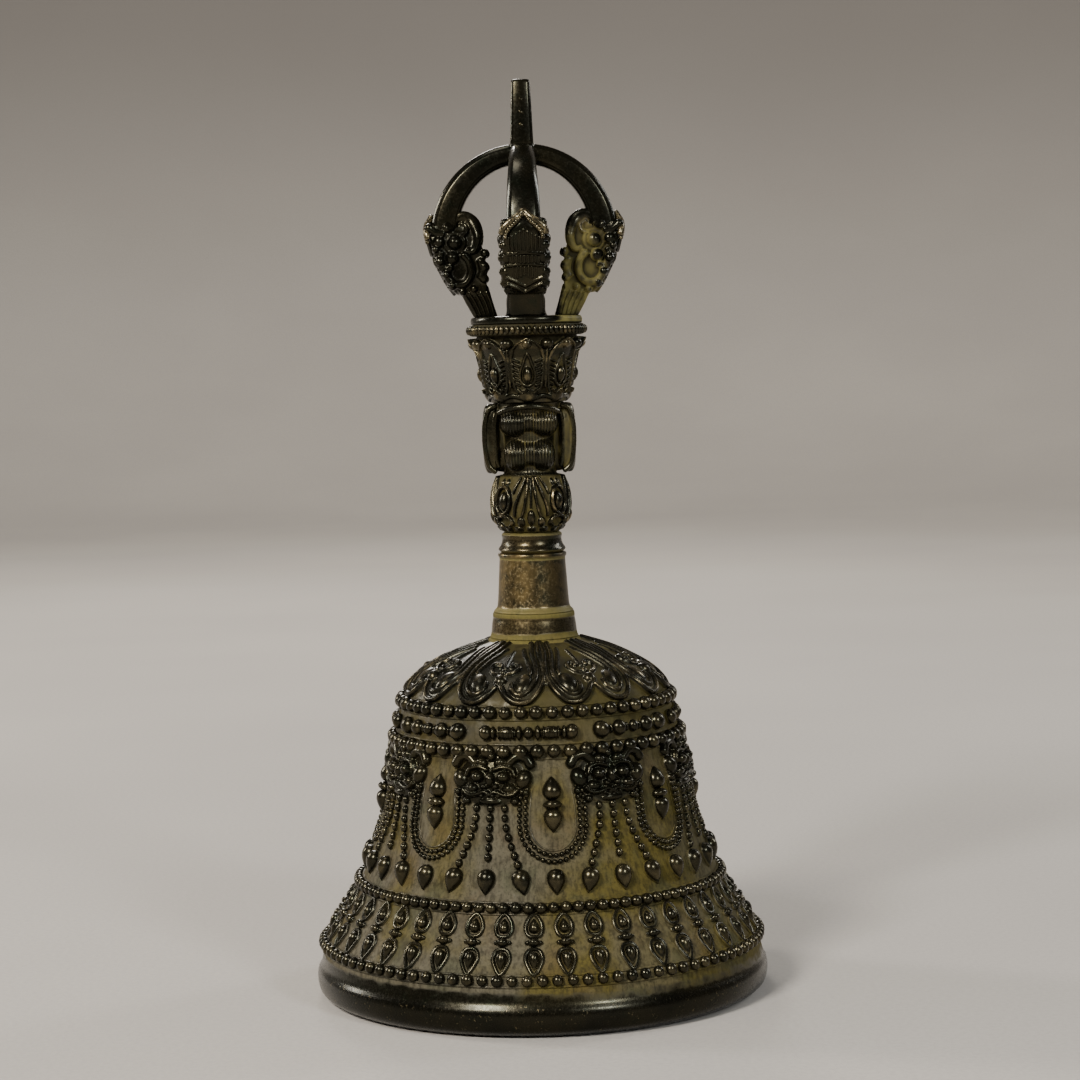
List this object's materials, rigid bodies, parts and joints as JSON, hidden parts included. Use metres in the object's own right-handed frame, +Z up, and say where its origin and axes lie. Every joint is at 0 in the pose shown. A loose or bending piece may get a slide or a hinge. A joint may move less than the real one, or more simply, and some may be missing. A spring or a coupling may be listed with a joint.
{
  "type": "tibetan bell",
  "caption": "Hand bell with a flared bead-ringed cup, a carved handle under a crown of curved prongs, and a clapper hung inside on a link.",
  "frame": {"origin": "centre of the flat rest ring under the lip, which the bell stands on", "axes": "+Z up along the handle, -Y towards the side of the handle with the bound hair, +X to the right seen from that side"},
  "size_m": [0.0896, 0.0896, 0.1795],
  "materials": {
    "cast_bronze": "aged cast bronze, dark on the relief with dusty olive ground",
    "handle_bronze": "aged bronze, glossy on the high spots",
    "crown_bronze": "aged bronze, dark with yellow dust in the recesses",
    "handle_brass": "mottled aged brass",
    "neck_brass": "dull yellow brass",
    "steel": "dull grey steel",
    "iron": "dark forged iron"
  },
  "bodies": {
    "bell": {"bell_cup": "cast_bronze", "seat_washer": "neck_brass", "neck_ring": "neck_brass", "neck_sleeve": "handle_brass", "neck_collar": "handle_brass", "vase_bulb": "handle_bronze", "head_block": "handle_bronze", "lotus_capital": "handle_bronze", "beading_ring": "handle_bronze", "crown_plate": "handle_bronze", "centre_prong": "crown_bronze", "makara_front": "crown_bronze", "makara_right": "crown_bronze", "makara_back": "crown_bronze", "makara_left": "crown_bronze", "prong_front": "crown_bronze", "prong_right": "crown_bronze", "prong_back": "crown_bronze", "prong_left": "crown_bronze", "tie_rod": "steel", "inner_washer": "neck_brass", "clamp_nut": "steel", "hanger_eye": "steel"},
    "link": {"hanger_link": "steel"},
    "clapper": {"clapper_rod": "iron", "clapper_bob": "iron"}
  },
  "joints": [
    {"name": "link_swing", "type": "hinge", "parent": "bell", "child": "link", "pos_m": [0, 0, 0.047], "axis": [0, 1, 0], "range_deg": [-38, 38]},
    {"name": "clapper_swing", "type": "hinge", "parent": "link", "child": "clapper", "pos_m": [0, 0, 0.0394], "axis": [1, 0, 0], "range_deg": [-36, 36]}
  ]
}
